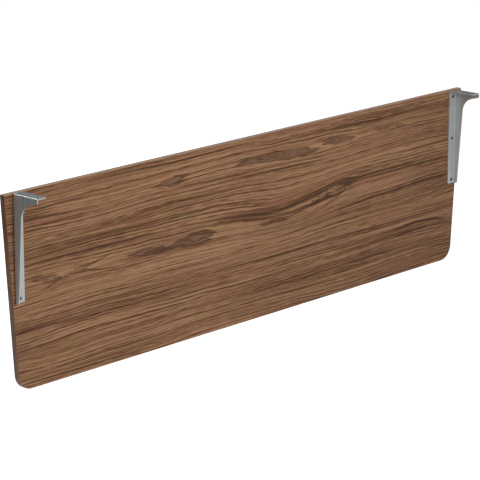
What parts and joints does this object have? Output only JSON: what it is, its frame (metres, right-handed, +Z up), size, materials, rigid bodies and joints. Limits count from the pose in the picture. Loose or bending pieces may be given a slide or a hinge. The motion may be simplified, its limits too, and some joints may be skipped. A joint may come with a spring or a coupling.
{
  "type": "desk modesty panel",
  "caption": "Tapered wood-grain modesty panel with round lower corners, hung below a desk top from mirrored folded sheet brackets.",
  "frame": {"origin": "centre of the four desk screw holes, on the plane of the brackets' upper faces that meets the underside of a desk top", "axes": "+Z up into the desk top, +X along the panel, -Y towards the sitter, so the panel lies on the +Y side of the holes"},
  "size_m": [1.44, 0.0837, 0.4105],
  "materials": {
    "particle_board": "raw particle board",
    "walnut_laminate": "satin walnut wood-grain laminate",
    "walnut_edge_band": "satin walnut wood-grain edge strip",
    "silver_painted_steel": "satin silver powder coat",
    "black_screw_steel": "black oxide"
  },
  "bodies": {
    "root": {"panel_core": "particle_board", "inner_laminate": "walnut_laminate", "outer_laminate": "walnut_laminate", "top_edge_band": "walnut_edge_band", "side_edge_band": "walnut_edge_band", "left_bracket": "silver_painted_steel", "right_bracket": "silver_painted_steel", "left_bracket_screws": "black_screw_steel", "right_bracket_screws": "black_screw_steel"}
  },
  "joints": []
}
